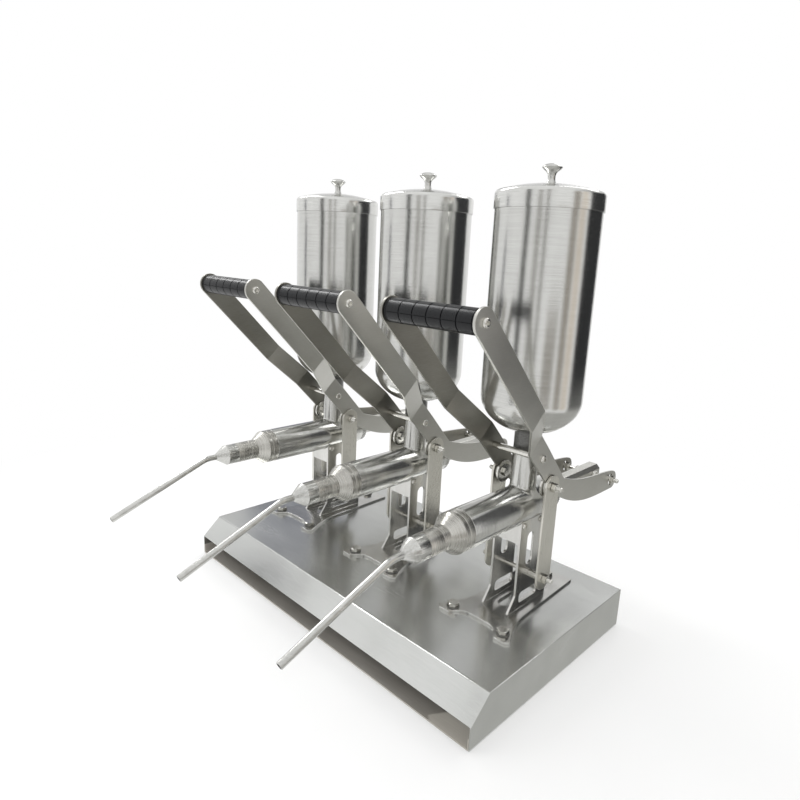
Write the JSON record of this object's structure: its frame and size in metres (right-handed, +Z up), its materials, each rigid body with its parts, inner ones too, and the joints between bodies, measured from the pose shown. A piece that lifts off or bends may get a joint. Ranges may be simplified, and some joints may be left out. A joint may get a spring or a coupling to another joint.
{
  "type": "lever filler dispenser",
  "caption": "Row of lever-operated piston fillers on a folded base, each with a lidded cylindrical hopper, horizontal pump barrel, bent nozzle and two-arm handle.",
  "frame": {"origin": "centre of the base's underside", "axes": "+Z up, +Y to the rear, -Y the side the nozzles and handles point to, +X to the right seen from the front"},
  "size_m": [0.544, 0.5352, 0.5835],
  "materials": {
    "hopper_steel": "brushed",
    "base_steel": "satin",
    "plate_steel": "satin",
    "turned_steel": "polished",
    "fasteners": "polished",
    "grip_plastic": "matte",
    "collar_rubber": "matte",
    "seal_rubber": "matte"
  },
  "bodies": {
    "frame": {"base_shell": "base_steel", "base_floor": "base_steel", "foot_bolts": "fasteners", "hopper_collars": "collar_rubber", "link_pivot_bolts": "fasteners", "barrel_screws": "fasteners", "left_stand": "base_steel", "left_pump_body": "turned_steel", "left_rear_ring": "turned_steel", "left_reducer": "turned_steel", "left_nozzle": "turned_steel", "left_hopper": "hopper_steel", "middle_stand": "base_steel", "middle_pump_body": "turned_steel", "middle_rear_ring": "turned_steel", "middle_reducer": "turned_steel", "middle_nozzle": "turned_steel", "middle_hopper": "hopper_steel", "right_stand": "base_steel", "right_pump_body": "turned_steel", "right_rear_ring": "turned_steel", "right_reducer": "turned_steel", "right_nozzle": "turned_steel", "right_hopper": "hopper_steel"},
    "left_lid": {"left_hopper_lid": "hopper_steel", "left_lid_knob": "turned_steel"},
    "left_rocker": {"left_rocker_links": "plate_steel", "left_rocker_pivot_bolts": "fasteners"},
    "left_lever": {"left_lever_plate_left": "plate_steel", "left_lever_plate_right": "plate_steel", "left_grip": "grip_plastic", "left_lever_rods": "fasteners"},
    "left_plunger": {"left_drawbar": "plate_steel", "left_drawbar_bolt": "fasteners", "left_piston": "turned_steel", "left_piston_seals": "seal_rubber"},
    "middle_lid": {"middle_hopper_lid": "hopper_steel", "middle_lid_knob": "turned_steel"},
    "middle_rocker": {"middle_rocker_links": "plate_steel", "middle_rocker_pivot_bolts": "fasteners"},
    "middle_lever": {"middle_lever_plate_left": "plate_steel", "middle_lever_plate_right": "plate_steel", "middle_grip": "grip_plastic", "middle_lever_rods": "fasteners"},
    "middle_plunger": {"middle_drawbar": "plate_steel", "middle_drawbar_bolt": "fasteners", "middle_piston": "turned_steel", "middle_piston_seals": "seal_rubber"},
    "right_lid": {"right_hopper_lid": "hopper_steel", "right_lid_knob": "turned_steel"},
    "right_rocker": {"right_rocker_links": "plate_steel", "right_rocker_pivot_bolts": "fasteners"},
    "right_lever": {"right_lever_plate_left": "plate_steel", "right_lever_plate_right": "plate_steel", "right_grip": "grip_plastic", "right_lever_rods": "fasteners"},
    "right_plunger": {"right_drawbar": "plate_steel", "right_drawbar_bolt": "fasteners", "right_piston": "turned_steel", "right_piston_seals": "seal_rubber"}
  },
  "joints": [
    {"name": "left_rocker_swing", "type": "hinge", "parent": "frame", "child": "left_rocker", "pos_m": [-0.1865, 0.0304, 0.0985], "axis": [1, 0, 0], "range_deg": [0, 40]},
    {"name": "left_lever_tilt", "type": "hinge", "parent": "left_rocker", "child": "left_lever", "pos_m": [-0.1865, 0.0304, 0.2175], "axis": [1, 0, 0], "range_deg": [-32, 0]},
    {"name": "left_plunger_stroke", "type": "slide", "parent": "frame", "child": "left_plunger", "axis": [0, -1, 0], "range_m": [0, 0.0755]},
    {"name": "left_lid_lift", "type": "slide", "parent": "frame", "child": "left_lid", "axis": [0, 0, 1], "range_m": [0, 0.08]},
    {"name": "middle_rocker_swing", "type": "hinge", "parent": "frame", "child": "middle_rocker", "pos_m": [0, 0.0304, 0.0985], "axis": [1, 0, 0], "range_deg": [0, 40]},
    {"name": "middle_lever_tilt", "type": "hinge", "parent": "middle_rocker", "child": "middle_lever", "pos_m": [0, 0.0304, 0.2175], "axis": [1, 0, 0], "range_deg": [-32, 0]},
    {"name": "middle_plunger_stroke", "type": "slide", "parent": "frame", "child": "middle_plunger", "axis": [0, -1, 0], "range_m": [0, 0.0755]},
    {"name": "middle_lid_lift", "type": "slide", "parent": "frame", "child": "middle_lid", "axis": [0, 0, 1], "range_m": [0, 0.08]},
    {"name": "right_rocker_swing", "type": "hinge", "parent": "frame", "child": "right_rocker", "pos_m": [0.1865, 0.0304, 0.0985], "axis": [1, 0, 0], "range_deg": [0, 40]},
    {"name": "right_lever_tilt", "type": "hinge", "parent": "right_rocker", "child": "right_lever", "pos_m": [0.1865, 0.0304, 0.2175], "axis": [1, 0, 0], "range_deg": [-32, 0]},
    {"name": "right_plunger_stroke", "type": "slide", "parent": "frame", "child": "right_plunger", "axis": [0, -1, 0], "range_m": [0, 0.0755]},
    {"name": "right_lid_lift", "type": "slide", "parent": "frame", "child": "right_lid", "axis": [0, 0, 1], "range_m": [0, 0.08]}
  ],
  "couplings": [
    {"joint": "left_lever_tilt", "follows": "left_rocker_swing", "ratio": -0.794},
    {"joint": "left_plunger_stroke", "follows": "left_rocker_swing", "m_per_rad": 0.10776},
    {"joint": "middle_lever_tilt", "follows": "middle_rocker_swing", "ratio": -0.794},
    {"joint": "middle_plunger_stroke", "follows": "middle_rocker_swing", "m_per_rad": 0.10776},
    {"joint": "right_lever_tilt", "follows": "right_rocker_swing", "ratio": -0.794},
    {"joint": "right_plunger_stroke", "follows": "right_rocker_swing", "m_per_rad": 0.10776}
  ]
}
